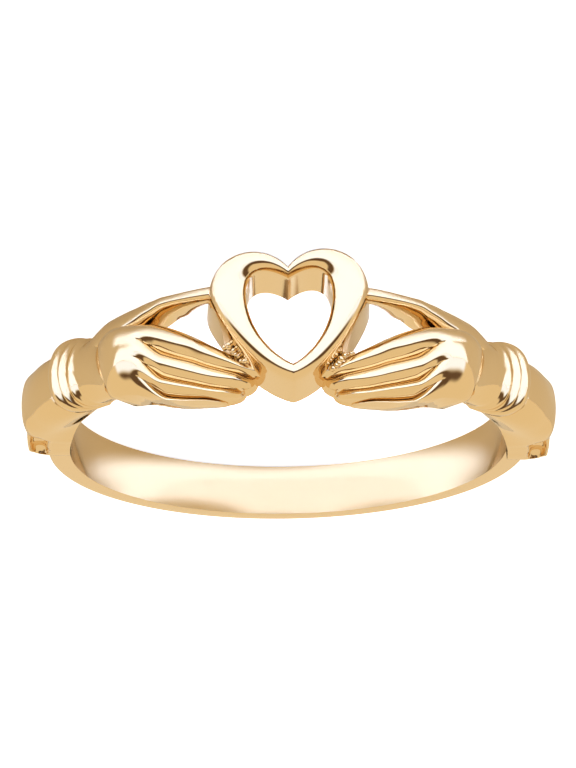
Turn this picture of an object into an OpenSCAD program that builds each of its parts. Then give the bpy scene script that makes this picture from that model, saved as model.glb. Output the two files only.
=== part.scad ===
// Ring of two hands that hold an open heart, cast in one piece.
// Each form is drawn as it sits on the finger: X across, Y along the finger, Z towards the heart's
// face, with angles in degrees counted from the heart round the ring, and heights counted from the
// finger hole. The whole ring is then laid on its side, the way it rests on a table.

/* [Finger hole] */
// Diameter of the finger hole
finger_d = 17.3; // [14:0.1:22]

/* [Band] */
// Width of the plain band along the finger
band_w = 2.1; // [1.7:0.1:2.6]
// Thickness of the band at the middle of its width
band_t = 1.05; // [0.9:0.05:1.5]
// Thickness of the band at its edges
band_edge_t = 0.8; // [0.5:0.05:0.85]
// Bevel of the band's outer edges
band_bevel = 0.12; // [0.05:0.01:0.2]

/* [Heart] */
// Width of the heart
heart_w = 5.87; // [5:0.1:7]
// Length of the heart from its point to its lobes
heart_l = 5.12; // [4.4:0.1:6]
// Height of the heart's face above the finger hole
heart_h = 2.55; // [2:0.05:3.2]
// Width of the heart's opening
heart_hole_w = 3.68; // [2.8:0.1:4.2]
// Length of the heart's opening
heart_hole_l = 3.75; // [3:0.1:4.1]
// How far the heart's middle lies from the middle of the band, towards the lobes
heart_shift = 0.73; // [0.4:0.01:0.9]
// How much wider the heart is at its foot than at its face, on each side
heart_draft = 0.13; // [0:0.01:0.25]
// How far the heart is turned in its own plane, in degrees
heart_turn = 2; // [-3:0.1:3]

/* [Hands] */
// Width of a hand with its thumb, along the finger
hand_w = 4.1; // [3.6:0.1:4.6]
// Height of the knuckles above the finger hole
hand_h = 2.1; // [1.7:0.05:2.5]
// Depth of the grooves between the fingers
groove_d = 0.48; // [0.2:0.02:0.6]
// Where the hands leave their cuffs, in degrees from the heart
hand_a = 50; // [47:0.5:53]
// How far the two hands are turned in the heart's plane, in degrees
hands_turn = -1.4; // [-3:0.1:3]

/* [Thumbs] */
// Width of a thumb, along the finger
thumb_w = 0.42; // [0.3:0.01:0.6]
// Distance from the middle of the band to the thumb's inner side
thumb_y = 1.84; // [1.7:0.01:2]
// Height of a thumb's top above the finger hole
thumb_h = 1.65; // [1.3:0.05:2]

/* [Cuffs] */
// Width of a cuff, along the finger
cuff_w = 2.5; // [2.3:0.1:3]
// Height of a cuff above the finger hole
cuff_h = 2.15; // [1.8:0.05:2.5]
// Depth of the grooves round a cuff
cuff_groove = 0.12; // [0.05:0.01:0.2]
// How far a cuff reaches round the ring, in degrees
cuff_span = 15; // [12:0.5:18]
// How far the hands, cuffs and sleeves lie from the middle of the band, towards the thumbs
arm_shift = 0.2; // [0:0.01:0.4]

/* [Sleeves] */
// Width of a sleeve, along the finger
sleeve_w = 2.4; // [2.2:0.1:2.8]
// Height of a sleeve's fold above the finger hole
sleeve_h = 2.15; // [1.8:0.05:2.5]
// Depth of the hollows between the scallops at a sleeve's end
scallop_d = 0.3; // [0.1:0.05:0.5]
// Where the sleeves end, in degrees from the heart
sleeve_end_a = 95.5; // [88:0.5:100]

/* [Hidden] */
$fn = 120;
gold = "#dcb67c";
finger_r = finger_d / 2;
// How far each form is drawn into the finger hole, which then cuts them all to one true surface
inset = 0.04 * finger_r;

function mix(a, b, t) = a + (b - a) * t;
function clamp01(x) = max(0, min(1, x));
// A share that leaves 0 and reaches 1 gently
function ease(t) = let (c = clamp01(t)) c * c * (3 - 2 * c);
// Reads column c of a table at x, whose column 0 grows from row to row
function at(table, x, c) = lookup(x, [for (row = table) [row[0], row[c]]]);
// A point at an angle from the heart, a place along the finger and a height above the hole
function on_ring(a, y, h) = [-(finger_r + h) * sin(a), y, (finger_r + h) * cos(a)];

function total(v, i = 0) = i < len(v) - 1 ? v[i] + total(v, i + 1) : v[i];

// A closed body through rings of points that all have as many points, with each end closed round
// its own middle
module loft(sections) {
    n = len(sections);
    m = len(sections[0]);
    sides = [for (i = [0:n - 2], j = [0:m - 1])
        let (a = i * m + j, b = i * m + (j + 1) % m)
        each [[a, a + m, b], [b, a + m, b + m]]];
    start = [for (j = [0:m - 1]) [j, (j + 1) % m, n * m]];
    end = [for (j = [0:m - 1]) [(n - 1) * m + (j + 1) % m, (n - 1) * m + j, n * m + 1]];
    middles = [for (s = [sections[0], sections[n - 1]]) total(s) / m];
    polyhedron(points = concat([for (s = sections) each s], middles),
               faces = concat(start, sides, end), convexity = 8);
}

// Half a heart as two curves from the cleft by the widest place to the point: their handles as
// shares of the half width and the half length
// columns: across, along
heart_outline = [[0, 0.73], [0.32, 1.22], [1, 1.01], [1, 0.36], [1, 0.09], [0.54, -0.95], [0, -1]];
hole_outline = [[0, 0.76], [0.36, 1.26], [1, 1.08], [1, 0.53], [1, 0.02], [0.64, -0.70], [0, -1]];
heart_steps = 12;
function bend(p, t) = pow(1 - t, 3) * p[0] + 3 * t * pow(1 - t, 2) * p[1]
    + 3 * t * t * (1 - t) * p[2] + t * t * t * p[3];
function half_heart(h) = concat(
    [for (i = [0:heart_steps - 1]) bend([h[0], h[1], h[2], h[3]], i / heart_steps)],
    [for (i = [0:heart_steps]) bend([h[3], h[4], h[5], h[6]], i / heart_steps)]);
function whole_heart(h, w, l) = let (p = half_heart(h), n = len(p)) concat(
    [for (q = p) [q[0] * w / 2, q[1] * l / 2]],
    [for (i = [n - 2:-1:1]) [-p[i][0] * w / 2, p[i][1] * l / 2]]);

// The rim's section from its outer side over the face to the opening
// columns: share across the rim, drop below the face as a share of heart_h
rim_section = [[0, 0.26], [0.03, 0.12], [0.12, 0.035], [0.34, 0],
               [0.66, 0.005], [0.88, 0.05], [0.97, 0.14], [1, 0.28]];

module heart() {
    outer = whole_heart(heart_outline, heart_w, heart_l);
    hole = whole_heart(hole_outline, heart_hole_w, heart_hole_l);
    foot_z = sqrt(pow(finger_r, 2) - pow(heart_w / 2 + heart_draft, 2)) - inset;
    face_z = finger_r + heart_h;
    n = len(outer);
    m = len(rim_section) + 2;
    points = [for (i = [0:n - 1])
        let (o = outer[i], q = hole[i], out = (o - q) / norm(o - q))
        each concat(
            [[each (o + out * heart_draft), foot_z]],
            [for (s = rim_section) [each mix(o, q, s[0]), face_z - s[1] * heart_h]],
            [[each q, foot_z]])];
    faces = [for (i = [0:n - 1], j = [0:m - 1])
        let (a = i * m + j, b = i * m + (j + 1) % m,
             c = ((i + 1) % n) * m + j, d = ((i + 1) % n) * m + (j + 1) % m)
        each [[a, c, b], [b, c, d]]];
    color(gold) translate([0, heart_shift, 0]) rotate([0, 0, heart_turn])
        polyhedron(points = points, faces = faces, convexity = 6);
}

// A hand's edges and height from its cuff to the heart, as shares of hand_a, of half the hand's
// width and of hand_h
// columns: angle, lower edge, upper edge, height
hand_rows = [
    [0.12, -0.60, -0.43, 0.55],
    [0.17, -0.76, -0.32, 0.58],
    [0.23, -0.88, -0.20, 0.62],
    [0.33, -0.95, 0.02, 0.69],
    [0.45, -0.96, 0.30, 0.79],
    [0.54, -0.92, 0.47, 0.88],
    [0.60, -0.87, 0.56, 0.93],
    [0.65, -0.81, 0.59, 0.97],
    [0.70, -0.75, 0.61, 0.99],
    [0.76, -0.67, 0.62, 1.00],
    [0.82, -0.59, 0.61, 0.93],
    [0.88, -0.52, 0.58, 0.78],
    [0.94, -0.44, 0.55, 0.66],
    [1.00, -0.38, 0.53, 0.64],
    [1.08, -0.30, 0.50, 0.60]];

// The crests of the four fingers from the knuckles to the tips, as shares of hand_a and of half the
// hand's width
// columns: angle, forefinger, middle finger, ring finger, little finger
crest_rows = [
    [0.12, -0.53, -0.70, -0.88, -0.96],
    [0.19, -0.46, -0.68, -0.90, -0.98],
    [0.26, -0.33, -0.64, -0.89, -1.00],
    [0.32, -0.22, -0.60, -0.86, -1.01],
    [0.37, -0.13, -0.55, -0.81, -1.00],
    [0.42, -0.02, -0.47, -0.75, -0.98],
    [0.49, 0.08, -0.36, -0.65, -0.93],
    [0.58, 0.22, -0.21, -0.53, -0.86],
    [0.64, 0.27, -0.15, -0.46, -0.78],
    [0.70, 0.35, -0.07, -0.38, -0.62]];
// Height of each finger's crest as a share of the hand's height, from the forefinger down
finger_heights = [1, 1, 0.93, 0.6];
// Where each finger ends, as a share of hand_a, and how far its tip takes to round off
finger_ends = [0, 0.155, 0.215, 0.3];
tip_round = 0.09;
// Where the grooves begin and are fully deep, as shares of hand_a
groove_start = 0.68;
groove_full = 0.54;
hand_steps = 26;
// How high a hand's side walls begin above the finger hole, and how far they draw in below that
skirt_h = 0.03 * hand_h;
skirt_in = 0.025 * hand_w;
// How far apart the points of an ended finger lie on the lower wall, across and in height
fold_y = 0.0015 * hand_w;
fold_h = 0.015 * hand_h;

function hand_row(a, c) = at(hand_rows, a, c) * (c == 3 ? hand_h : hand_w / 2);
function crest(k, a) = at(crest_rows, a, k + 1) * hand_w / 2;
function grooved(a) = ease((groove_start - a) / (groove_start - groove_full));
// 1 along a finger, falling to 0 where its tip ends
function alive(k, a) = let (x = clamp01((a - finger_ends[k]) / tip_round)) sqrt(1 - pow(1 - x, 2));
// The groove below finger k lies nearer to that finger's crest than to the next
function groove_y(k, a) = mix(crest(k, a), crest(k + 1, a), 0.4);
// The lower edge of the fingers that have not ended yet, from finger k down
function fingers_edge(k, a) = mix(groove_y(k - 1, a),
    k == 3 ? crest(3, a) : fingers_edge(k + 1, a), alive(k, a));
// How high the back of the hand is at a place across it, with full sides and a round top
function dome(u) = 0.55 + 0.45 * sqrt(max(0, 1 - pow(abs(u), 2.4)));

// One finger of a hand's section from its lower flank over its crest to the groove above it,
// which close up against the lower wall past the finger's tip
function finger_points(k, a, lo, hi) =
    let (g = grooved(a), h = hand_row(a, 3), c = crest(k, a),
         above = k > 0 ? groove_y(k - 1, a) : mix(c, hi, 0.75),
         below = k < 3 ? groove_y(k, a) : lo,
         depth = groove_d * h / hand_h,
         top = h * finger_heights[k],
         valley = k > 0 ? min(top, h * finger_heights[k - 1]) - depth : top * 0.8,
         finger = [[mix(c, below, 0.5), top - 0.6 * depth], [c, top],
                   [mix(c, above, 0.5), mix(top, valley, 0.3)], [above, valley]])
    [for (i = [0:3])
        let (u = ((3 - k) * 4 + i + 1) / 17, back = mix(lo, hi, u), first = (3 - k) * 4 + i)
        mix([lo + fold_y * first, skirt_h + fold_h * (first + 1)],
            mix([back, h * dome(2 * u - 1)], finger[i], g), mix(1, alive(k, a), g))];

function hand_section(a) =
    let (lo = mix(hand_row(a, 1), fingers_edge(1, a), grooved(a)), hi = hand_row(a, 2),
         wall = hand_row(a, 3) * 0.45)
    concat(
        [[lo + skirt_in, -inset], [lo, skirt_h]],
        [for (k = [3:-1:0]) each finger_points(k, a, lo, hi)],
        [[hi, wall], [hi, skirt_h], [hi - skirt_in, -inset]]);

module hand() {
    first = hand_rows[0][0];
    last = hand_rows[len(hand_rows) - 1][0];
    color(gold) loft([for (i = [0:hand_steps])
        let (a = mix(first, last, i / hand_steps))
        [for (p = hand_section(a)) on_ring(a * hand_a, p[0], p[1])]]);
}

// A thumb with its side of the wrist, from the heart to the cuff
// columns: angle as a share of hand_a, inner side as a share of thumb_y, width as a share of thumb_w,
// foot and top as shares of thumb_h
thumb_rows = [
    [0.28, 1.01, 1.10, 0.48, 1.00],
    [0.37, 1.00, 1.12, 0.42, 1.00],
    [0.45, 0.98, 1.15, 0.21, 0.99],
    [0.53, 0.95, 1.27, -0.08, 0.98],
    [0.58, 0.90, 1.48, -0.12, 0.97],
    [0.62, 0.80, 1.86, -0.20, 0.95],
    [0.66, 0.70, 2.24, -0.20, 0.93],
    [0.71, 0.60, 2.55, -0.20, 0.91],
    [0.77, 0.52, 2.78, -0.20, 0.89],
    [0.83, 0.42, 3.10, -0.20, 0.87],
    [0.90, 0.32, 3.35, -0.20, 0.85],
    [0.96, 0.26, 3.22, -0.20, 0.83],
    [1.02, 0.22, 2.90, -0.20, 0.80],
    [1.08, 0.18, 2.10, -0.20, 0.77]];
// The thumb's section from its inner foot over its top to its outer foot
// columns: share across, share of the height
thumb_section = [[0.1, 0], [0, 0.2], [0, 0.88], [0.10, 1], [0.5, 0.98], [0.88, 0.88], [1, 0.66],
                 [1, 0.2], [0.9, 0]];

module thumb() {
    color(gold) loft([for (row = thumb_rows)
        let (y = row[1] * thumb_y, w = row[2] * thumb_w, foot = row[3] * thumb_h,
             h = row[4] * thumb_h - foot)
        [for (p = thumb_section) on_ring(row[0] * hand_a, y + p[0] * w, foot + p[1] * h)]]);
}

// The section of a cuff or a sleeve from its lower foot over its round top to its upper foot
// columns: share of the way across, share of the height
tube_section = [[0.10, -0.16], [0.04, 0.02], [0.005, 0.20], [0, 0.42], [0.025, 0.68], [0.12, 0.88],
                [0.29, 0.97], [0.5, 1], [0.71, 0.97], [0.88, 0.88], [0.975, 0.68], [1, 0.42],
                [0.995, 0.20], [0.96, 0.02], [0.90, -0.16]];
// How far the scallops at a sleeve's end move each point of its section inwards, as shares of their
// depth: a hollow in each side, under a fuller edge
hollows = [0, 0, 0, 0.3, 1, -0.6, -0.2, 0, -0.2, -0.6, 1, 0.3, 0, 0, 0];
function tube_ring(a, lo, hi, h, hollow = 0) = [for (i = [0:len(tube_section) - 1])
    let (p = tube_section[i], deep = hollow * hollows[i], side = p[0] < 0.5 ? 1 : -1)
    on_ring(a, arm_shift + mix(lo, hi, p[0]) + side * deep, p[1] * h - deep / 2)];

// A cuff from its hand side to its sleeve side
// columns: angle as a share of cuff_span, lower edge and upper edge as shares of half its width,
// height, groove as a share of its depth
cuff_rows = [
    [-0.04, -0.52, 0.82, 0.66, 0], [0.03, -0.60, 0.96, 0.82, 0], [0.09, -0.72, 1.01, 0.92, 0],
    [0.14, -0.84, 1.04, 0.96, 0], [0.17, -0.89, 1.05, 0.965, 1], [0.21, -0.94, 1.06, 0.98, 0],
    [0.29, -0.99, 1.09, 1, 0], [0.32, -1, 1.1, 1, 1], [0.36, -1.02, 1.1, 1, 0],
    [0.46, -1.05, 1.1, 0.995, 0], [0.57, -1.04, 1.07, 0.97, 0], [0.70, -0.98, 1.02, 0.90, 0],
    [0.80, -0.90, 0.94, 0.81, 0], [0.90, -0.82, 0.82, 0.68, 0]];

module cuff() {
    color(gold) loft([for (row = cuff_rows)
        let (half = cuff_w / 2, d = row[4] * cuff_groove)
        tube_ring(hand_a + row[0] * cuff_span, row[1] * half + d, row[2] * half - d,
                  row[3] * cuff_h - d)]);
}

// A sleeve from inside its cuff to its scalloped end on the band
// columns: angle as a share of the sleeve's length, lower edge and upper edge as shares of half its
// width, height, scallop as a share of its depth
sleeve_rows = [
    [0.00, -0.74, 0.72, 0.62, 0], [0.07, -0.80, 0.80, 0.76, 0], [0.15, -0.92, 0.90, 0.90, 0],
    [0.26, -1.00, 0.96, 0.98, 0], [0.38, -1.02, 0.98, 1.00, 0], [0.49, -1.00, 0.94, 0.96, 0],
    [0.58, -0.96, 0.84, 0.87, 0.1], [0.64, -0.96, 0.76, 0.80, 0.4], [0.70, -0.98, 0.74, 0.79, 0.8],
    [0.80, -0.98, 0.70, 0.78, 1], [0.88, -0.98, 0.66, 0.76, 1], [0.95, -0.97, 0.63, 0.72, 0.9],
    [1.00, -0.92, 0.56, 0.62, 0.5]];

module sleeve() {
    start = hand_a + 0.6 * cuff_span;
    color(gold) loft([for (row = sleeve_rows)
        let (half = sleeve_w / 2)
        tube_ring(mix(start, sleeve_end_a, row[0]), row[1] * half, row[2] * half,
                  row[3] * sleeve_h, row[4] * scallop_d)]);
}

// The plain band round the back of the finger, from inside one sleeve to inside the other
module shank() {
    start_a = mix(hand_a + cuff_span, sleeve_end_a, 0.5);
    half = band_w / 2;
    crown = band_t - band_edge_t;
    crown_r = (pow(half, 2) + pow(crown, 2)) / (2 * crown);
    color(gold) rotate([-90, 0, 0])
        rotate_extrude(angle = 360 - 2 * start_a, start = start_a - 90)
            intersection() {
                translate([finger_r - inset, -half]) square([inset + band_t, band_w]);
                translate([finger_r + band_t - crown_r, 0]) circle(r = crown_r);
                translate([finger_r + band_edge_t - band_bevel - half, 0])
                    rotate(45) square(sqrt(2) * (half + band_w), center = true);
            }
}

// The ring as it sits on the finger
module worn() {
    difference() {
        union() {
            shank();
            heart();
            rotate([0, 0, hands_turn])
                for (side = [0, 1]) mirror([side, 0, 0]) {
                    hand();
                    thumb();
                    cuff();
                    sleeve();
                }
        }
        rotate([-90, 0, 0]) cylinder(r = finger_r, h = 4 * heart_l, center = true);
    }
}

// Where the heart's lobes touch the table: their distance from the middle of the band and from the
// middle of the finger
lobe_y = heart_shift + heart_l / 2 + 0.7 * heart_draft;
lobe_z = 0.985 * finger_r;
// The edge of the band's back touches it too, so the ring leans
back_r = finger_r + band_edge_t - band_bevel / 2;
rise = lobe_y - band_w / 2 * cos(heart_turn);
lean = atan((sqrt(pow(rise * lobe_z, 2) + (pow(back_r, 2) - pow(lobe_z, 2))
    * (pow(rise, 2) - pow(back_r * sin(heart_turn), 2))) - rise * lobe_z)
    / (pow(back_r, 2) - pow(lobe_z, 2)));
lift = lobe_y * cos(lean) - lobe_z * sin(lean);
back_to_front = (heart_h - band_t) / 2 * cos(lean) + (lobe_y - band_w / 2) / 2 * sin(lean);

// Laid on its side with the heart's point up
module ring() {
    translate([0, back_to_front, lift]) rotate([-lean, 0, 0])
        rotate([0, 180, 0]) rotate([90, 0, 0]) rotate([0, 0, -heart_turn]) worn();
}

ring();
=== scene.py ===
import math

import bmesh
import bpy
import numpy as np
from mathutils import Matrix, Vector


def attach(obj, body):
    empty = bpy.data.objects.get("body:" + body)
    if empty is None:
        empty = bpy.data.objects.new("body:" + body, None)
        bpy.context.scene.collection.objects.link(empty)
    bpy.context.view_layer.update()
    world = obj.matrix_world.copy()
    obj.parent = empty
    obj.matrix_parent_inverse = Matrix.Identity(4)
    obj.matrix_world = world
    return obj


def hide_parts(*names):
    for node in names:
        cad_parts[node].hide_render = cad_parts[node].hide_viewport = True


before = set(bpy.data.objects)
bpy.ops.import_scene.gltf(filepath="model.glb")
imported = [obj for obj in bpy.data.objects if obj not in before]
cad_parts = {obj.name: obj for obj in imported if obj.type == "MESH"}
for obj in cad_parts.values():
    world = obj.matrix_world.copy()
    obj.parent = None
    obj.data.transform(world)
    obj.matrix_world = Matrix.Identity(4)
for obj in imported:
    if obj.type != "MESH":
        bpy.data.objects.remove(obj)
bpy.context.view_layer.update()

# Forms are drawn in millimetres as they sit on the finger: X across, Y along the finger, Z towards
# the heart's face, with angles in degrees counted from the heart round the ring
MM = 0.001
# Points nearer than this to each other are one
MERGE = 0.0001
# How often the corners of a drawn section are cut to round it
CORNER_CUTS = 2
# The two inputs of a Mix node for vectors and for colours, which share their names
MIX_VECTORS = (4, 5)
MIX_COLOURS = (6, 7)

# Finger hole and band
FINGER_D = 17.3
FINGER_R = FINGER_D / 2
FINGER_STEPS = 480
BAND_W = 2.1
BAND_T = 1.05
BAND_EDGE_T = 0.8
BAND_BEVEL = 0.12
# How far the band reaches under each sleeve, in degrees
BAND_OVERLAP = 9
BAND_STEPS = 240
CROWN_POINTS = 9
BEVEL_POINTS = 6
# Where the bevel's round starts, in degrees from the crown to the band's side
BEVEL_START = 25
# How far each form is drawn into the finger hole, which then cuts them all to one true surface
INSET = 0.35

# Heart
HEART_W = 5.87
HEART_L = 5.12
HEART_H = 2.55
HEART_HOLE_W = 3.68
HEART_HOLE_L = 3.75
HEART_SHIFT = 0.73
HEART_DRAFT = 0.13
HEART_TURN = 2

# Hands and thumbs
HAND_W = 4.1
HAND_H = 2.1
GROOVE_D = 0.48
HAND_A = 50
HANDS_TURN = -1.4
THUMB_W = 0.42
THUMB_Y = 1.84
THUMB_H = 1.65

# Cuffs and sleeves
CUFF_W = 2.5
CUFF_H = 2.15
CUFF_SPAN = 15
ARM_SHIFT = 0.2
SLEEVE_W = 2.4
SLEEVE_H = 2.15
SLEEVE_END_A = 95.5


def mix(a, b, t):
    return a + (b - a) * t


def ease(t):
    t = np.clip(t, 0, 1)
    return t * t * (3 - 2 * t)


def read(table, x, column):
    """A smooth curve through one column of a table, whose column 0 grows from row to row."""
    places = np.array([row[0] for row in table], float)
    values = np.array([row[column] for row in table], float)
    slopes = np.gradient(values, places)
    x = np.clip(np.asarray(x, float), places[0], places[-1])
    i = np.clip(np.searchsorted(places, x) - 1, 0, len(places) - 2)
    width = places[i + 1] - places[i]
    t = (x - places[i]) / width
    start = (1 + 2 * t) * (1 - t) ** 2 * values[i] + t * (1 - t) ** 2 * width * slopes[i]
    return start + t * t * (3 - 2 * t) * values[i + 1] + t * t * (t - 1) * width * slopes[i + 1]


def on_ring(angle, y, height):
    """Points at angles from the heart, places along the finger and heights above the hole."""
    angle, y, height = np.broadcast_arrays(np.radians(angle), y, height)
    r = FINGER_R + height
    return np.stack([-r * np.sin(angle), y, r * np.cos(angle)], -1)


def rounded(points, times, closed):
    """An outline with its corners cut again and again, so that it turns smoothly."""
    points = np.asarray(points, float)
    for _ in range(times):
        ahead = np.roll(points, -1, 0)
        cut = np.stack([mix(points, ahead, 0.25), mix(points, ahead, 0.75)], 1)
        cut = cut.reshape(-1, points.shape[1])
        points = cut if closed else np.concatenate([points[:1], cut[1:-3], points[-1:]])
    return points


def new_object(name, points, faces, edges=()):
    mesh = bpy.data.meshes.new(name)
    mesh.from_pydata([tuple(p) for p in points], edges, faces)
    made = bpy.data.objects.new(name, mesh)
    bpy.context.scene.collection.objects.link(made)
    return made


def face_outwards(made):
    shape = bmesh.new()
    shape.from_mesh(made.data)
    bmesh.ops.recalc_face_normals(shape, faces=shape.faces)
    if shape.calc_volume(signed=True) < 0:
        bmesh.ops.reverse_faces(shape, faces=shape.faces)
    shape.to_mesh(made.data)
    shape.free()
    return made


def loft(name, sections):
    """A closed body through rings of points, with each end closed round its own middle."""
    n, m = sections.shape[:2]
    sides = [(i * m + j, i * m + (j + 1) % m, (i + 1) * m + (j + 1) % m, (i + 1) * m + j)
             for i in range(n - 1) for j in range(m)]
    start = [((j + 1) % m, j, n * m) for j in range(m)]
    end = [((n - 1) * m + j, (n - 1) * m + (j + 1) % m, n * m + 1) for j in range(m)]
    middles = sections[[0, -1]].mean(1)
    return face_outwards(new_object(name, np.concatenate([sections.reshape(-1, 3), middles]),
                                    sides + start + end))


# Node trees

def add(tree, kind, links=(), **settings):
    """One node with its settings, and links given as (input, output socket) pairs."""
    node = tree.nodes.new(kind)
    for key, value in settings.items():
        setattr(node, key, value)
    for key, value in links:
        if isinstance(value, bpy.types.NodeSocket):
            tree.links.new(value, node.inputs[key])
        else:
            node.inputs[key].default_value = value
    return node


def start_tree(name, sockets):
    tree = bpy.data.node_groups.new(name, "GeometryNodeTree")
    for socket_name, kind in sockets:
        tree.interface.new_socket(socket_name, in_out="INPUT", socket_type=kind)
    tree.interface.new_socket("Geometry", in_out="OUTPUT", socket_type="NodeSocketGeometry")
    return tree, tree.nodes.new("NodeGroupInput").outputs, tree.nodes.new("NodeGroupOutput")


def finish_tree(tree, shape, material, group_out):
    real = add(tree, "GeometryNodeRealizeInstances", [("Geometry", shape)])
    painted = add(tree, "GeometryNodeSetMaterial",
                  [("Geometry", real.outputs[0]), ("Material", material)])
    tree.links.new(painted.outputs[0], group_out.inputs[0])


def grow(name, tree, values):
    """The plain mesh that a tree makes from its named inputs."""
    made = new_object(name, [], [])
    modifier = made.modifiers.new(name, "NODES")
    modifier.node_group = tree
    for item in tree.interface.items_tree:
        if item.in_out == "INPUT" and item.name in values:
            modifier[item.identifier] = values[item.name]
    graph = bpy.context.evaluated_depsgraph_get()
    mesh = bpy.data.meshes.new_from_object(made.evaluated_get(graph))
    made.modifiers.remove(modifier)
    made.data = mesh
    return made


# Band: a section swept round the back of the finger by a node tree

def band_tree():
    tree, given, group_out = start_tree("band", [
        ("Section", "NodeSocketObject"), ("Radius", "NodeSocketFloat"),
        ("Start", "NodeSocketFloat"), ("Sweep", "NodeSocketFloat"),
        ("Steps", "NodeSocketInt"), ("Material", "NodeSocketMaterial")])
    path = add(tree, "GeometryNodeCurveArc", [
        ("Resolution", given["Steps"]), ("Radius", given["Radius"]),
        ("Start Angle", given["Start"]), ("Sweep Angle", given["Sweep"])], mode="RADIUS")
    section = add(tree, "GeometryNodeObjectInfo", [("Object", given["Section"])])
    outline = add(tree, "GeometryNodeMeshToCurve", [("Mesh", section.outputs["Geometry"])])
    swept = add(tree, "GeometryNodeCurveToMesh", [
        ("Curve", path.outputs["Curve"]), ("Profile Curve", outline.outputs[0]),
        ("Fill Caps", True)])
    merged = add(tree, "GeometryNodeMergeByDistance", [
        ("Geometry", swept.outputs[0]), ("Distance", MERGE)])
    finish_tree(tree, merged.outputs[0], given["Material"], group_out)
    return tree


def band_section():
    """Half of the band's outline as heights over its width, then its mirror image."""
    half = BAND_W / 2
    crown = BAND_T - BAND_EDGE_T
    crown_r = (half ** 2 + crown ** 2) / (2 * crown)
    points = []
    for y in np.linspace(0, half - BAND_BEVEL, CROWN_POINTS):
        points.append((y, BAND_T - crown_r + math.sqrt(crown_r ** 2 - y ** 2)))
    edge = points[-1][1]
    for turn in np.radians(np.linspace(BEVEL_START, 90, BEVEL_POINTS)):
        points.append((half - BAND_BEVEL * (1 - math.sin(turn)),
                       edge - BAND_BEVEL * (1 - math.cos(turn))))
    points.append((half, -INSET))
    return points + [(-y, h) for y, h in points[:0:-1]]


def shank(material):
    outline = band_section()
    count = len(outline)
    section = new_object("band_outline", [(h, y, 0) for y, h in outline], [],
                         [(i, (i + 1) % count) for i in range(count)])
    start = SLEEVE_END_A - BAND_OVERLAP
    made = grow("shank", band_tree(), {
        "Section": section, "Radius": FINGER_R, "Start": math.radians(start - 90),
        "Sweep": math.radians(360 - 2 * start), "Steps": BAND_STEPS, "Material": material})
    bpy.data.objects.remove(section)
    made.data.transform(Matrix.Rotation(-math.pi / 2, 4, "X"))
    return made


# Heart: a rim lofted between its outline and its opening by a node tree

# Half a heart as two curves from the cleft by the widest place to the point
# columns: across and along, as shares of the half width and the half length
HEART_OUTLINE = [(0, 0.73), (0.32, 1.22), (1, 1.01), (1, 0.36), (1, 0.09), (0.47, -0.86), (0, -1)]
HOLE_OUTLINE = [(0, 0.74), (0.38, 1.02), (0.86, 1.05), (0.86, 0.45), (0.86, 0), (0.60, -0.68),
                (0, -1)]
HEART_STEPS = 40
# The rim's section from its outer side over the face to the opening
# columns: share across the rim, drop below the face as a share of HEART_H
RIM_SECTION = [(0, 0.28), (0.04, 0.13), (0.14, 0.04), (0.32, 0), (0.54, 0), (0.68, 0.006),
               (0.79, 0.024), (0.88, 0.052), (0.95, 0.085), (1, 0.135), (1, 0.24)]
# Points down each wall of the rim
WALL_POINTS = 6


def whole_heart(outline, width, length):
    """Points round a heart, from half an outline whose two curves share their middle point."""
    handles = np.array(outline, float) * (width / 2, length / 2)
    t = np.linspace(0, 1, HEART_STEPS + 1)[:-1, None]
    half = []
    for first in (0, 3):
        a, b, c, d = handles[first:first + 4]
        half.append((1 - t) ** 3 * a + 3 * t * (1 - t) ** 2 * b
                    + 3 * t * t * (1 - t) * c + t ** 3 * d)
    half = np.concatenate(half + [handles[-1:]])
    return np.concatenate([half, half[-2:0:-1] * (-1, 1)])


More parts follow.
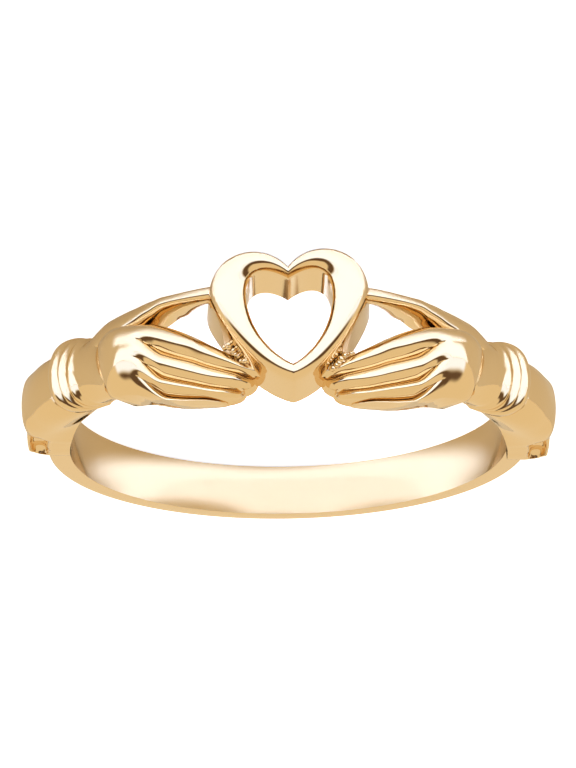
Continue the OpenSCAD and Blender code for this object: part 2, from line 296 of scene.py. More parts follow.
def rim_tree():
    """Bends a grid round the heart: each point lies between the outline and the opening as the
    section says, and the closed section's first row meets its last."""
    tree, given, group_out = start_tree("rim", [
        ("Outline", "NodeSocketObject"), ("Opening", "NodeSocketObject"),
        ("Section", "NodeSocketObject"), ("Steps around", "NodeSocketInt"),
        ("Steps across", "NodeSocketInt"), ("Face height", "NodeSocketFloat"),
        ("Flare", "NodeSocketFloat"), ("Material", "NodeSocketMaterial")])

    def sums(operation, a, b):
        return add(tree, "ShaderNodeMath", [(0, a), (1, b)], operation=operation).outputs[0]

    def point_of(shape, index):
        source = add(tree, "GeometryNodeObjectInfo", [("Object", shape)]).outputs["Geometry"]
        place = add(tree, "GeometryNodeInputPosition").outputs[0]
        return add(tree, "GeometryNodeSampleIndex", [
            ("Geometry", source), ("Value", place), ("Index", index)],
            data_type="FLOAT_VECTOR").outputs["Value"]

    rows = sums("ADD", given["Steps across"], 1)
    grid = add(tree, "GeometryNodeMeshGrid", [
        ("Vertices X", sums("ADD", given["Steps around"], 1)), ("Vertices Y", rows)])
    index = add(tree, "GeometryNodeInputIndex").outputs[0]
    around = sums("MODULO", sums("FLOOR", sums("DIVIDE", sums("ADD", index, 0.5), rows), 0),
                  given["Steps around"])
    across = sums("MODULO", sums("MODULO", index, rows), given["Steps across"])
    outer = point_of(given["Outline"], around)
    inner = point_of(given["Opening"], around)
    section = add(tree, "ShaderNodeSeparateXYZ", [(0, point_of(given["Section"], across))])
    between = add(tree, "ShaderNodeMix", [("Factor", section.outputs["X"])],
                  data_type="VECTOR")
    for way_in, rail in zip(MIX_VECTORS, (outer, inner)):
        tree.links.new(rail, between.inputs[way_in])
    outward = add(tree, "ShaderNodeVectorMath", [(0, outer), (1, inner)], operation="SUBTRACT")
    way = add(tree, "ShaderNodeVectorMath", [(0, outward.outputs[0])], operation="NORMALIZE")
    flared = add(tree, "ShaderNodeVectorMath", [
        (0, way.outputs[0]), ("Scale", sums("MULTIPLY", section.outputs["Z"], given["Flare"]))],
        operation="SCALE")
    flat = add(tree, "ShaderNodeVectorMath", [
        (0, between.outputs[1]), (1, flared.outputs[0])], operation="ADD")
    height = add(tree, "ShaderNodeCombineXYZ", [
        (2, sums("SUBTRACT", given["Face height"], section.outputs["Y"]))])
    place = add(tree, "ShaderNodeVectorMath", [
        (0, flat.outputs[0]), (1, height.outputs[0])], operation="ADD")
    placed = add(tree, "GeometryNodeSetPosition", [
        ("Geometry", grid.outputs[0]), ("Position", place.outputs[0])])
    closed = add(tree, "GeometryNodeMergeByDistance", [
        ("Geometry", placed.outputs[0]), ("Distance", MERGE)])
    finish_tree(tree, closed.outputs[0], given["Material"], group_out)
    return tree


def heart(material):
    face_z = FINGER_R + HEART_H
    foot_z = math.sqrt(FINGER_R ** 2 - (HEART_W / 2 + HEART_DRAFT) ** 2) - INSET
    rim = rounded([(x, y * HEART_H) for x, y in RIM_SECTION], CORNER_CUTS, False)
    walls = np.linspace(0, 1, WALL_POINTS + 1)[:-1]
    start = [(0, mix(face_z - foot_z, rim[0][1], t), 1 - t) for t in walls]
    end = [(1, mix(face_z - foot_z, rim[-1][1], t), 0) for t in walls]
    section = start + [(x, drop, 0) for x, drop in rim] + end[::-1]
    guides = [
        new_object("heart_outline",
                   [(x, y, 0) for x, y in whole_heart(HEART_OUTLINE, HEART_W, HEART_L)], []),
        new_object("heart_opening",
                   [(x, y, 0) for x, y in whole_heart(HOLE_OUTLINE, HEART_HOLE_W, HEART_HOLE_L)],
                   []),
        new_object("rim_section", section, [])]
    made = grow("heart", rim_tree(), {
        "Outline": guides[0], "Opening": guides[1], "Section": guides[2],
        "Steps around": 4 * HEART_STEPS, "Steps across": len(section),
        "Face height": face_z, "Flare": HEART_DRAFT, "Material": material})
    for guide in guides:
        bpy.data.objects.remove(guide)
    made.data.transform(Matrix.Translation((0, HEART_SHIFT, 0))
                        @ Matrix.Rotation(math.radians(HEART_TURN), 4, "Z"))
    return face_outwards(made)


# Hands

# A hand's edges and height, from the heart to its cuff
# columns: angle as a share of HAND_A, lower and upper edge as shares of half of HAND_W, height as
# a share of HAND_H
HAND_ROWS = [
    (0.12, -0.60, -0.43, 0.55), (0.17, -0.76, -0.32, 0.58), (0.23, -0.88, -0.20, 0.62),
    (0.33, -0.95, 0.02, 0.69), (0.45, -0.96, 0.30, 0.79), (0.54, -0.92, 0.47, 0.88),
    (0.60, -0.87, 0.56, 0.93), (0.65, -0.81, 0.59, 0.97), (0.70, -0.75, 0.61, 0.99),
    (0.76, -0.71, 0.64, 1.00), (0.81, -0.69, 0.64, 0.96), (0.852, -0.64, 0.60, 0.89),
    (0.886, -0.50, 0.52, 0.82), (0.906, -0.30, 0.40, 0.77), (0.93, -0.08, 0.30, 0.69),
    (0.97, 0.03, 0.24, 0.55)]
# The crests of the four fingers, from the tips to the knuckles
# columns: angle as a share of HAND_A; forefinger, middle, ring and little finger as shares of half
# of HAND_W
CREST_ROWS = [
    (0.12, -0.53, -0.70, -0.88, -0.97), (0.19, -0.46, -0.68, -0.91, -0.99),
    (0.26, -0.33, -0.64, -0.90, -0.985), (0.32, -0.22, -0.60, -0.88, -0.99),
    (0.37, -0.13, -0.55, -0.84, -0.98), (0.42, -0.02, -0.48, -0.79, -0.97),
    (0.49, 0.08, -0.38, -0.72, -0.95), (0.58, 0.22, -0.24, -0.61, -0.88),
    (0.64, 0.27, -0.17, -0.54, -0.80), (0.70, 0.35, -0.09, -0.46, -0.66)]
# From the forefinger to the little finger: heights as shares of the hand's, and where the tips end
# as shares of HAND_A
FINGER_HEIGHTS = (1, 1, 0.93, 0.68)
FINGER_ENDS = (0, 0.155, 0.215, 0.3)
# Over how much of HAND_A a tip rounds off
TIP_ROUND = 0.09
# From the forefinger's groove down, as shares of GROOVE_D
GROOVE_DEPTHS = (1, 0.85, 0.5)
# Where the grooves start at the knuckles and where they are fully deep, as shares of HAND_A
GROOVE_START = 0.68
GROOVE_FULL = 0.54
# Where the grooves lie, as shares of the way from each crest to the next below it
GROOVE_PLACES = (0.5, 0.66, 0.68)
# How round the crests are, as a share of the fingers' lower sides
CREST_ROUND = 0.26
# How much a finger's points crowd towards its crest on its lower side
FLANK_CROWD = 1.5
# Powers of the fall on a finger's upper side, on the little finger's lower side and on the
# forefinger's upper side
VALLEY_POWER = 2.4
LITTLE_POWER = 2.2
SIDE_POWER = 0.8
# Where the ridge of the hand's back lies, from -1 at its lower edge to 1 at its upper edge
RIDGE = 0.42
# The height of the back's edges as a share of its ridge, and the powers of its fall below and
# above the ridge
BACK_EDGE = 0.55
BACK_POWERS = (2, 2.4)
HAND_STEPS = 110
FLANK_STEPS = 12
# Height of the foot of a hand's sides above the finger hole, and how far its sides draw in below it
SKIRT_H = 0.06
SKIRT_TUCK = 0.1
# Height of the upper side as a share of the hand's, and its points on the way down
SIDE_H = 0.45
SIDE_SHARES = (0.66, 0.33, 0)
# Where a finger is not there yet its points climb the side: how far apart, and up to which share
# of the height
CLIMB_STEP = 0.003
CLIMB_H = 0.6


def crest(k, a):
    return read(CREST_ROWS, a, k + 1) * HAND_W / 2


def alive(k, a):
    """How far a finger is there: 0 beyond its tip, and 1 once the tip has rounded off."""
    x = np.clip((a - FINGER_ENDS[k]) / TIP_ROUND, 0, 1)
    return np.sqrt(1 - (1 - x) ** 2)


def groove_y(k, a):
    return mix(crest(k, a), crest(k + 1, a), GROOVE_PLACES[k])


def fingers_edge(k, a):
    """The lower edge of a finger and those below it, drawn in where their tips end."""
    lower = crest(3, a) if k == 3 else fingers_edge(k + 1, a)
    return mix(groove_y(k - 1, a), lower, alive(k, a))


def dome(u):
    """The height of the hand's back across it, u from -1 to 1, with its ridge above the middle."""
    above = u >= RIDGE
    away = abs((u - RIDGE) / ((1 if above else -1) - RIDGE))
    return BACK_EDGE + (1 - BACK_EDGE) * math.sqrt(max(0, 1 - away ** BACK_POWERS[above]))


def hand_columns(a):
    """A hand's section at shares of HAND_A: pairs of places along the finger and heights, from
    the lower foot over the four fingers to the upper foot."""
    depth_of_grooves = ease((GROOVE_START - a) / (GROOVE_START - GROOVE_FULL))
    h = read(HAND_ROWS, a, 3) * HAND_H
    hi = read(HAND_ROWS, a, 2) * HAND_W / 2
    lo = mix(read(HAND_ROWS, a, 1) * HAND_W / 2, fingers_edge(1, a), depth_of_grooves)
    depth = GROOVE_D * h / HAND_H
    side = SIDE_H * h
    columns = [(lo + SKIRT_TUCK, -INSET + 0 * a), (lo, SKIRT_H + 0 * a)]
    fingers = []
    for k in (3, 2, 1, 0):
        c, top = crest(k, a), h * FINGER_HEIGHTS[k]
        below = groove_y(k, a) if k < 3 else lo
        above = groove_y(k - 1, a) if k > 0 else hi
        low = SKIRT_H if k == 3 else (
            np.minimum(top, h * FINGER_HEIGHTS[k + 1]) - depth * GROOVE_DEPTHS[k])
        valley = side if k == 0 else (
            np.minimum(top, h * FINGER_HEIGHTS[k - 1]) - depth * GROOVE_DEPTHS[k - 1])
        for s in np.linspace(1, 0, FLANK_STEPS + 1)[1:] ** FLANK_CROWD:
            if k < 3:
                fall = math.hypot(s, CREST_ROUND) - CREST_ROUND
            else:
                fall = 1 - np.sqrt(1 - s ** LITTLE_POWER)
            fingers.append((mix(c, below, s), top - (top - low) * fall, k))
        for s in np.linspace(0, 1, FLANK_STEPS + 1)[1:]:
            if k > 0:
                fingers.append((mix(c, above, s), mix(top, valley, s ** VALLEY_POWER), k))
            else:
                turn = s * math.pi / 2
                fingers.append((mix(c, above, math.sin(turn)),
                                mix(valley, top, math.cos(turn) ** SIDE_POWER), k))
    count = len(fingers)
    for i, (y, height, k) in enumerate(fingers):
        u = (i + 1) / (count + 1)
        back = (mix(lo, hi, u), h * dome(2 * u - 1))
        shown = mix(1, alive(k, a), depth_of_grooves)
        climb = (lo + CLIMB_STEP * i, SKIRT_H + (CLIMB_H * h - SKIRT_H) * u)
        columns.append(tuple(
            mix(climb[j], mix(back[j], (y, height)[j], depth_of_grooves), shown)
            for j in (0, 1)))
    columns += [(hi, side * t + SKIRT_H * (1 - t)) for t in SIDE_SHARES]
    columns.append((hi - SKIRT_TUCK, -INSET + 0 * a))
    return np.stack([np.stack([y, height], -1) for y, height in columns], 1)


def hand():
    a = np.linspace(HAND_ROWS[0][0], HAND_ROWS[-1][0], HAND_STEPS + 1)
    section = hand_columns(a)
    return loft("hand", on_ring(a[:, None] * HAND_A, section[..., 0], section[..., 1]))


# A thumb with its side of the wrist, from the heart to the cuff
# columns: angle as a share of HAND_A, inner side as a share of THUMB_Y, width as a share of
# THUMB_W, foot and top as shares of THUMB_H
THUMB_ROWS = [
    (0.28, 0.95, 1.36, 0.48, 1.00), (0.37, 0.93, 1.42, 0.42, 1.00),
    (0.45, 0.91, 1.46, 0.21, 0.99), (0.53, 0.88, 1.57, -0.08, 0.98),
    (0.58, 0.84, 1.74, -0.12, 0.97), (0.62, 0.76, 2.03, -0.20, 0.95),
    (0.66, 0.70, 2.24, -0.20, 0.93), (0.71, 0.60, 2.55, -0.20, 0.91),
    (0.77, 0.52, 2.78, -0.20, 0.89), (0.83, 0.42, 3.10, -0.20, 0.87),
    (0.90, 0.32, 3.35, -0.20, 0.85), (0.96, 0.26, 3.12, -0.20, 0.83),
    (1.02, 0.22, 2.70, -0.20, 0.80), (1.08, 0.18, 2.00, -0.20, 0.77)]
# columns: share across, share of the height
THUMB_SECTION = [(0.32, 0), (0.12, 0.25), (0.01, 0.60), (0.05, 0.84), (0.26, 1), (0.56, 0.98),
                 (0.80, 0.90), (0.95, 0.72), (1, 0.40), (0.9, 0)]
THUMB_STEPS = 60


def thumb():
    a = np.linspace(THUMB_ROWS[0][0], THUMB_ROWS[-1][0], THUMB_STEPS + 1)[:, None]
    section = rounded(THUMB_SECTION, CORNER_CUTS, True)
    y = read(THUMB_ROWS, a, 1) * THUMB_Y
    width = read(THUMB_ROWS, a, 2) * THUMB_W
    foot = read(THUMB_ROWS, a, 3) * THUMB_H
    height = read(THUMB_ROWS, a, 4) * THUMB_H - foot
    return loft("thumb", on_ring(a * HAND_A, y + section[:, 0] * width,
                                 foot + section[:, 1] * height))


# Solder grains where the forefinger's tip meets the heart, scattered by a node tree

# columns: where the grains start and end, across, along and towards the heart's face
GRAIN_LINES = [((-2.42, 0.02, 9.75), (-1.55, -0.80, 9.85)),
               ((2.22, -0.32, 9.7), (1.45, -1.02, 9.8))]
GRAIN_R = 0.13
GRAINS = 15
# The smallest grain as a share of the largest, and how far a grain may lie off its line each way
GRAIN_SMALLEST = 0.5
GRAIN_SCATTER = (0.07, 0.10, 0.16)
GRAIN_ROUNDS = 3


def grains_tree():
    tree, given, group_out = start_tree("grains", [
        ("Start", "NodeSocketVector"), ("End", "NodeSocketVector"), ("Count", "NodeSocketInt"),
        ("Radius", "NodeSocketFloat"), ("Scatter", "NodeSocketVector"), ("Seed", "NodeSocketInt"),
        ("Material", "NodeSocketMaterial")])
    line = add(tree, "GeometryNodeMeshLine", [
        ("Count", given["Count"]), ("Start Location", given["Start"]), ("Offset", given["End"])],
        mode="END_POINTS")
    back = add(tree, "ShaderNodeVectorMath", [(0, given["Scatter"]), ("Scale", -1)],
               operation="SCALE")
    shift = add(tree, "FunctionNodeRandomValue", [
        (0, back.outputs[0]), (1, given["Scatter"]), ("Seed", given["Seed"])],
        data_type="FLOAT_VECTOR")
    points = add(tree, "GeometryNodeSetPosition", [
        ("Geometry", line.outputs[0]), ("Offset", shift.outputs[0])])
    size = add(tree, "FunctionNodeRandomValue", [
        (2, GRAIN_SMALLEST), (3, 1), ("Seed", given["Seed"])], data_type="FLOAT")
    grain = add(tree, "GeometryNodeMeshIcoSphere", [
        ("Radius", given["Radius"]), ("Subdivisions", GRAIN_ROUNDS)])
    placed = add(tree, "GeometryNodeInstanceOnPoints", [
        ("Points", points.outputs[0]), ("Instance", grain.outputs[0]),
        ("Scale", size.outputs[1])])
    finish_tree(tree, placed.outputs[0], given["Material"], group_out)
    return tree


def grains(material, line, seed):
    return grow("grains", grains_tree(), {
        "Start": line[0], "End": line[1], "Count": GRAINS, "Radius": GRAIN_R,
        "Scatter": GRAIN_SCATTER, "Seed": seed, "Material": material})


# Cuffs and sleeves

# The lower half of their section, from its foot to its top: where it is round, where the sleeve
# turns square and where the sleeve's end has a hollow in each side
# columns: share of the way across, share of the height
ROUND_SECTION = [(0.17, -0.16), (0.12, 0.02), (0.055, 0.20), (0.01, 0.40), (0.01, 0.60),
                 (0.07, 0.78), (0.17, 0.90), (0.32, 0.97)]
SQUARE_SECTION = [(0.06, -0.16), (0, 0), (0, 0.25), (0, 0.57), (0.01, 0.66), (0.03, 0.82),
                  (0.09, 0.94), (0.22, 0.98)]
END_SECTION = [(0.06, -0.16), (0, 0), (0, 0.25), (0, 0.52), (0.17, 0.58), (0.17, 0.88),
               (0.02, 0.93), (0.04, 1)]
# How far the lower part of a cuff lies towards the heart from its top, in degrees for each mm
ARM_LEAN = 2.6
# A wrist with its cuff, from the hand to the sleeve
# columns: angle as a share of CUFF_SPAN, lower and upper edge as shares of half of CUFF_W, height
# as a share of CUFF_H
CUFF_ROWS = [
    (-0.867, -1.12, -0.62, 0.840), (-0.667, -1.12, -0.42, 0.815), (-0.467, -1.12, -0.14, 0.775),
    (-0.333, -1.10, 0.26, 0.745), (-0.200, -1.09, 0.72, 0.728), (-0.067, -1.07, 0.96, 0.722),
    (0.080, -1.06, 1.00, 0.728), (0.185, -1.06, 1.02, 0.745), (0.225, -1.08, 1.06, 0.775),
    (0.255, -1.10, 1.09, 0.812), (0.285, -1.11, 1.10, 0.815), (0.325, -1.10, 1.09, 0.800),
    (0.365, -1.12, 1.11, 0.845), (0.395, -1.14, 1.13, 0.900), (0.420, -1.14, 1.13, 0.905),
    (0.440, -1.14, 1.14, 0.930), (0.475, -1.18, 1.17, 0.985), (0.510, -1.20, 1.18, 1.000),
    (0.560, -1.20, 1.18, 0.995), (0.613, -1.18, 1.14, 0.958), (0.680, -1.14, 1.04, 0.884),
    (0.747, -1.06, 0.92, 0.791), (0.813, -0.96, 0.76, 0.651)]
# columns: angle as a share of the sleeve's length, lower and upper edge as shares of half of
# SLEEVE_W, height as a share of SLEEVE_H, how far its sides are hollow, share of ARM_LEAN
SLEEVE_ROWS = [
    (0.000, -0.99, 0.88, 0.674, 0, 1), (0.055, -1.10, 0.98, 0.781, 0, 1),
    (0.137, -1.18, 1.02, 0.870, 0, 0.8), (0.247, -1.22, 1.04, 0.944, 0, 0.55),
    (0.356, -1.22, 1.00, 0.977, 0, 0.3), (0.466, -1.21, 0.92, 0.972, 0, 0.1),
    (0.530, -1.20, 0.82, 0.900, 0, 0), (0.570, -1.20, 0.75, 0.840, 0.2, 0),
    (0.600, -1.20, 0.71, 0.805, 0.8, 0), (0.640, -1.21, 0.70, 0.790, 1, 0),
    (0.760, -1.23, 0.69, 0.770, 1, 0), (0.890, -1.25, 0.65, 0.740, 1, 0),
    (0.945, -1.25, 0.62, 0.712, 0.5, 0), (0.981, -1.22, 0.60, 0.665, 0.05, 0),
    (1.000, -1.10, 0.54, 0.605, 0, 0)]
# Where a sleeve starts inside its cuff, in degrees from HAND_A
SLEEVE_START = 9
# Where a sleeve starts to turn square and over how much of its length
SQUARE_FROM = 0.3
SQUARE_OVER = 0.3
# How much further round the ring the middle of a sleeve's end reaches than its sides
SLEEVE_BOW = 4.5
# Where the bow starts, as a share of the sleeve's length
BOW_FROM = 0.6
CUFF_STEPS = 150
SLEEVE_STEPS = 90


def both_sides(section):
    """A whole section from its lower half."""
    return np.array(section + [(0.5, 1)] + [(1 - y, h) for y, h in section[::-1]])


def tube(name, angle, lo, hi, height, square, hollow, lean, bow):
    """A cuff or sleeve through one section at each angle, from shares of how square and how
    hollow it is, its lean and the bow of its end."""
    round_one, square_one, hollow_one = (
        rounded(both_sides(half), CORNER_CUTS, True)
        for half in (ROUND_SECTION, SQUARE_SECTION, END_SECTION))
    section = mix(round_one, square_one, square[:, None, None])
    section = mix(section, hollow_one, hollow[:, None, None])
    y = ARM_SHIFT + mix(lo[:, None], hi[:, None], section[..., 0])
    h = section[..., 1] * height[:, None]
    angle = (angle[:, None] - lean[:, None] * (height[:, None] - h)
             - bow[:, None] * (2 * section[..., 0] - 1) ** 2)
    return loft(name, on_ring(angle, y, h))


def cuff():
    a = np.linspace(CUFF_ROWS[0][0], CUFF_ROWS[-1][0], CUFF_STEPS + 1)
    half = CUFF_W / 2
    return tube("cuff", HAND_A + a * CUFF_SPAN, read(CUFF_ROWS, a, 1) * half,
                read(CUFF_ROWS, a, 2) * half, read(CUFF_ROWS, a, 3) * CUFF_H, 0 * a, 0 * a,
                ARM_LEAN + 0 * a, 0 * a)


def sleeve():
    a = np.linspace(0, 1, SLEEVE_STEPS + 1)
    half = SLEEVE_W / 2
    return tube("sleeve", mix(HAND_A + SLEEVE_START, SLEEVE_END_A, a),
                read(SLEEVE_ROWS, a, 1) * half, read(SLEEVE_ROWS, a, 2) * half,
                read(SLEEVE_ROWS, a, 3) * SLEEVE_H, ease((a - SQUARE_FROM) / SQUARE_OVER),
                read(SLEEVE_ROWS, a, 4), read(SLEEVE_ROWS, a, 5) * ARM_LEAN,
                SLEEVE_BOW * ease((a - BOW_FROM) / (1 - BOW_FROM)))


# The whole casting

def combine(base, other, operation):
    modifier = base.modifiers.new(operation, "BOOLEAN")
    modifier.solver = "MANIFOLD"
    modifier.operation = operation
    modifier.object = other
    graph = bpy.context.evaluated_depsgraph_get()
    mesh = bpy.data.meshes.new_from_object(base.evaluated_get(graph))
    base.modifiers.remove(modifier)
    base.data = mesh
    bpy.data.objects.remove(other)


def finger_hole():
    turn = np.linspace(0, 2 * math.pi, FINGER_STEPS, endpoint=False)
    ends = [np.stack([FINGER_R * np.cos(turn), np.full(FINGER_STEPS, y),
                      FINGER_R * np.sin(turn)], -1)
            for y in (-2 * HEART_L, 2 * HEART_L)]
    return loft("finger_hole", np.stack(ends))


# The places that touch the table: the heart's lobes near the finger hole, as shares of
# HEART_DRAFT and FINGER_R, and the edge of the band's back
LOBE_FLARE = 0.7
LOBE_RISE = 0.985
LOBE_Y = HEART_SHIFT + HEART_L / 2 + LOBE_FLARE * HEART_DRAFT
LOBE_Z = LOBE_RISE * FINGER_R
BACK_R = FINGER_R + BAND_EDGE_T - BAND_BEVEL / 2


def laid_down():
    """The placement that lays the ring on its side with the heart's point up."""
    turn = math.radians(HEART_TURN)
    rise = LOBE_Y - BAND_W / 2 * math.cos(turn)
    square = BACK_R ** 2 - LOBE_Z ** 2
    root = math.sqrt((rise * LOBE_Z) ** 2
                     + square * (rise ** 2 - (BACK_R * math.sin(turn)) ** 2))
    lean = math.atan((root - rise * LOBE_Z) / square)
    lift = LOBE_Y * math.cos(lean) - LOBE_Z * math.sin(lean)
    forward = ((HEART_H - BAND_T) / 2 * math.cos(lean)
               + (LOBE_Y - BAND_W / 2) / 2 * math.sin(lean))
    return (Matrix.Scale(MM, 4) @ Matrix.Translation((0, forward, lift))
            @ Matrix.Rotation(-lean, 4, "X") @ Matrix.Rotation(math.pi, 4, "Y")
            @ Matrix.Rotation(math.pi / 2, 4, "X") @ Matrix.Rotation(-turn, 4, "Z"))


# Edges that turn more than this, in degrees, stay sharp
SHARP_TURN = 34


def casting(material):
    made = face_outwards(shank(material))
    turn = Matrix.Rotation(math.radians(HANDS_TURN), 4, "Z")
    combine(made, heart(material), "UNION")
    for side in (1, -1):
        mirror = Matrix.Diagonal((side, 1, 1, 1))
        for form in (hand, thumb, cuff, sleeve):
            piece = form()
            piece.data.transform(turn @ mirror)
            combine(made, face_outwards(piece), "UNION")
    for seed, line in enumerate(GRAIN_LINES):
        combine(made, grains(material, line, seed), "UNION")
    combine(made, finger_hole(), "DIFFERENCE")
    made.name = made.data.name = "gold_ring"
    made.data.transform(laid_down())
    made.data.materials.clear()
    made.data.materials.append(material)
    for polygon in made.data.polygons:
        polygon.use_smooth = True
        polygon.material_index = 0
    made.data.set_sharp_from_angle(angle=math.radians(SHARP_TURN))
    return made


# Finish

# The gold's tint and gloss drift between two values each over faint clouds
GOLD_TINTS = ((0.85, 0.65, 0.38, 1), (0.87, 0.67, 0.40, 1))
GOLD_ROUGHNESS = (0.05, 0.10)
CLOUD_SCALE = 420


def polished_gold():
    material = bpy.data.materials.new("polished_gold")
    material.use_nodes = True
    tree = material.node_tree
    shader = tree.nodes["Principled BSDF"]
    shader.inputs["Metallic"].default_value = 1
    place = add(tree, "ShaderNodeTexCoord").outputs["Object"]
    clouds = add(tree, "ShaderNodeTexNoise", [
        ("Vector", place), ("Scale", CLOUD_SCALE), ("Detail", 3)])
    tint = add(tree, "ShaderNodeMix", [("Factor", clouds.outputs[0])], data_type="RGBA")
    for way_in, colour in zip(MIX_COLOURS, GOLD_TINTS):
        tint.inputs[way_in].default_value = colour
    tree.links.new(tint.outputs[2], shader.inputs["Base Color"])
    gloss = add(tree, "ShaderNodeMapRange", [
        ("Value", clouds.outputs[0]), ("To Min", GOLD_ROUGHNESS[0]),
        ("To Max", GOLD_ROUGHNESS[1])])
    tree.links.new(gloss.outputs[0], shader.inputs["Roughness"])
    return material


# Studio

CAMERA_AZIMUTH = 1.53
CAMERA_ELEVATION = 25.35
CAMERA_ROLL = 176.62
CAMERA_DISTANCE = 0.120
# The middle of the finger hole
CAMERA_AIM = Vector((0, 0.000891625, 0.00227423))
CAMERA_LENS = 141.47
CAMERA_FILM = 36
CAMERA_REACH = (0.01, 10)
# How far the ring sits from the middle of the picture, as shares of its height
CAMERA_SHIFT = (-0.0004, 0.0556)


def towards_camera():
    azimuth, elevation = math.radians(CAMERA_AZIMUTH), math.radians(CAMERA_ELEVATION)
    return Vector((math.sin(azimuth) * math.cos(elevation),
                   -math.cos(azimuth) * math.cos(elevation), math.sin(elevation)))


def camera():
    data = bpy.data.cameras.new("camera")
    made = bpy.data.objects.new("camera", data)
    bpy.context.scene.collection.objects.link(made)
    back = towards_camera()
    level = back.to_track_quat("Z", "Y").to_matrix().to_4x4()
    made.matrix_world = (Matrix.Translation(CAMERA_AIM + back * CAMERA_DISTANCE) @ level
                         @ Matrix.Rotation(math.radians(CAMERA_ROLL), 4, "Z"))
    data.lens = CAMERA_LENS
    data.sensor_width = CAMERA_FILM
    data.shift_x, data.shift_y = CAMERA_SHIFT
    data.clip_start, data.clip_end = CAMERA_REACH
    bpy.context.scene.camera = made


FLOOR_HALF = 0.6
FLOOR_TONE = 0.9
FLOOR_ROUGHNESS = 0.9
# What the floor adds for the camera alone, so that it stays as white as the paper of a catalogue
# while the gold mirrors its plain tone
FLOOR_GLOW = (0.88, 0.90, 0.96, 1)


def pale_floor():
    corners = [(x * FLOOR_HALF, y * FLOOR_HALF, 0) for x, y in ((-1, -1), (1, -1), (1, 1), (-1, 1))]
    made = new_object("floor", corners, [(0, 1, 2, 3)])
    material = bpy.data.materials.new("pale_floor")
    material.use_nodes = True
    shader = material.node_tree.nodes["Principled BSDF"]
    shader.inputs["Base Color"].default_value = (FLOOR_TONE, FLOOR_TONE, FLOOR_TONE, 1)
    shader.inputs["Roughness"].default_value = FLOOR_ROUGHNESS
    shader.inputs["Emission Color"].default_value = FLOOR_GLOW
    seen = add(material.node_tree, "ShaderNodeLightPath").outputs["Is Camera Ray"]
    material.node_tree.links.new(seen, shader.inputs["Emission Strength"])
    made.data.materials.append(material)


HOT_GLOW = (0.90, 1.20, 1.95)
# Soft lights hung flat over the floor, which light only the part of it beneath them
# columns: name, from and to across, from and to in depth
LIGHTS = [
    ("front_light", -0.30, 0.30, -0.36, -0.0136),
    ("near_light", -0.0150, 0.0150, -0.0136, -0.0094),
    ("middle_light", -0.0034, 0.0034, -0.0040, 0.0080)]
LIGHT_HEIGHT = 0.3
# How far the beams fan out, in degrees, so little that the pools keep crisp edges
LIGHT_SPREAD = 0.7


def soft_lights():
    strongest = max(HOT_GLOW)
    for name, left, right, front, back in LIGHTS:
        data = bpy.data.lights.new(name, "AREA")
        data.shape = "RECTANGLE"
        data.size, data.size_y = right - left, back - front
        data.spread = math.radians(LIGHT_SPREAD)
        data.color = [part / strongest for part in HOT_GLOW]
        data.energy = strongest / FLOOR_TONE * math.pi * data.size * data.size_y
        made = bpy.data.objects.new(name, data)
        bpy.context.scene.collection.objects.link(made)
        made.location = ((left + right) / 2, (front + back) / 2, LIGHT_HEIGHT)
        made.visible_camera = made.visible_glossy = False


WARM_AIR = (0.90, 0.76, 0.54, 1)
BRIGHT_AIR = (1.2, 1.45, 2.1, 1)
DARK_AIR = (0.14, 0.085, 0.05, 1)
# Where the air's tones fade from one to the next, as parts of a direction of length 1: how far
# ahead, how high the bright part reaches, and the foot and top of the dark band above it
AHEAD = (-0.22, -0.08)
BRIGHT_TOP = (0.12, 0.26)
DARK_FOOT = (0.16, 0.28)
DARK_TOP = (0.50, 0.66)
# Where the dark round the camera fades, in degrees from the camera
DARK_TURN = (23, 12)


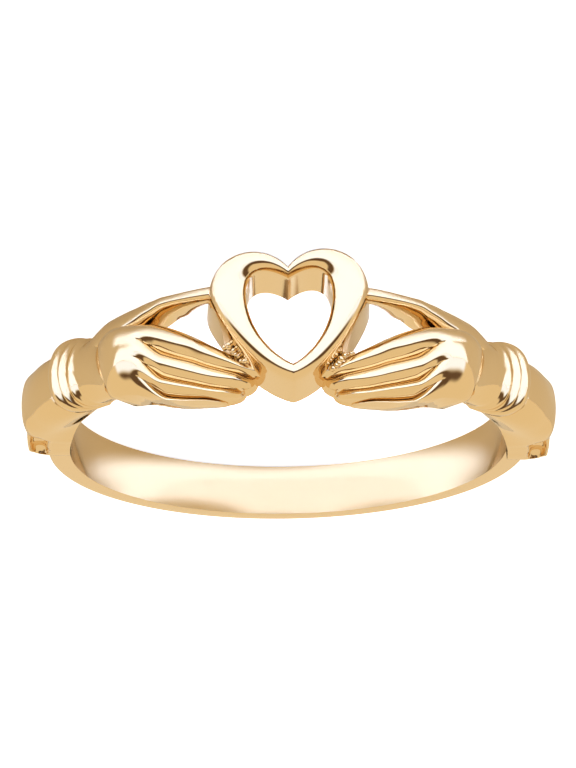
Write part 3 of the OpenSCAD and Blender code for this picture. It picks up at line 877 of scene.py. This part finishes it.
def studio_air():
    """Even warm light from all round. In front it is bright near the floor, and dark in a band
    above that and where the camera stands."""
    world = bpy.data.worlds.new("studio")
    bpy.context.scene.world = world
    world.use_nodes = True
    tree = world.node_tree
    background = tree.nodes["Background"]
    way = add(tree, "ShaderNodeTexCoord").outputs["Generated"]
    facing = add(tree, "ShaderNodeVectorMath", [(0, way), (1, towards_camera())],
                 operation="DOT_PRODUCT").outputs["Value"]
    parts = add(tree, "ShaderNodeSeparateXYZ", [(0, way)]).outputs

    def between(value, start, end, first, last):
        return add(tree, "ShaderNodeMapRange", [
            ("Value", value), ("From Min", start), ("From Max", end), ("To Min", first),
            ("To Max", last)], interpolation_type="SMOOTHSTEP").outputs[0]

    def both(first, second):
        return add(tree, "ShaderNodeMath", [(0, first), (1, second)],
                   operation="MULTIPLY").outputs[0]

    ahead = between(parts["Y"], *AHEAD, 1, 0)
    low = between(parts["Z"], *BRIGHT_TOP, 1, 0)
    band = both(between(parts["Z"], *DARK_FOOT, 0, 1), between(parts["Z"], *DARK_TOP, 1, 0))
    near = between(facing, *(math.cos(math.radians(turn)) for turn in DARK_TURN), 0, 1)
    dark = add(tree, "ShaderNodeMath", [(0, band), (1, near)], operation="MAXIMUM").outputs[0]
    tone = WARM_AIR
    for share, other in ((both(low, ahead), BRIGHT_AIR), (both(dark, ahead), DARK_AIR)):
        mixed = add(tree, "ShaderNodeMix", [("Factor", share)], data_type="RGBA")
        first, second = (mixed.inputs[way_in] for way_in in MIX_COLOURS)
        second.default_value = other
        if isinstance(tone, tuple):
            first.default_value = tone
        else:
            tree.links.new(tone, first)
        tone = mixed.outputs[2]
    tree.links.new(tone, background.inputs["Color"])
    seen = add(tree, "ShaderNodeLightPath").outputs["Is Camera Ray"]
    plain = add(tree, "ShaderNodeBackground", [("Color", (1, 1, 1, 1))])
    shown = add(tree, "ShaderNodeMixShader", [
        (0, seen), (1, background.outputs[0]), (2, plain.outputs[0])])
    tree.links.new(shown.outputs[0], tree.nodes["World Output"].inputs["Surface"])


camera()
pale_floor()
soft_lights()
studio_air()
bpy.context.scene.view_settings.view_transform = "Standard"

gold = polished_gold()
ring = casting(gold)
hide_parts("ring")
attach(ring, "root")
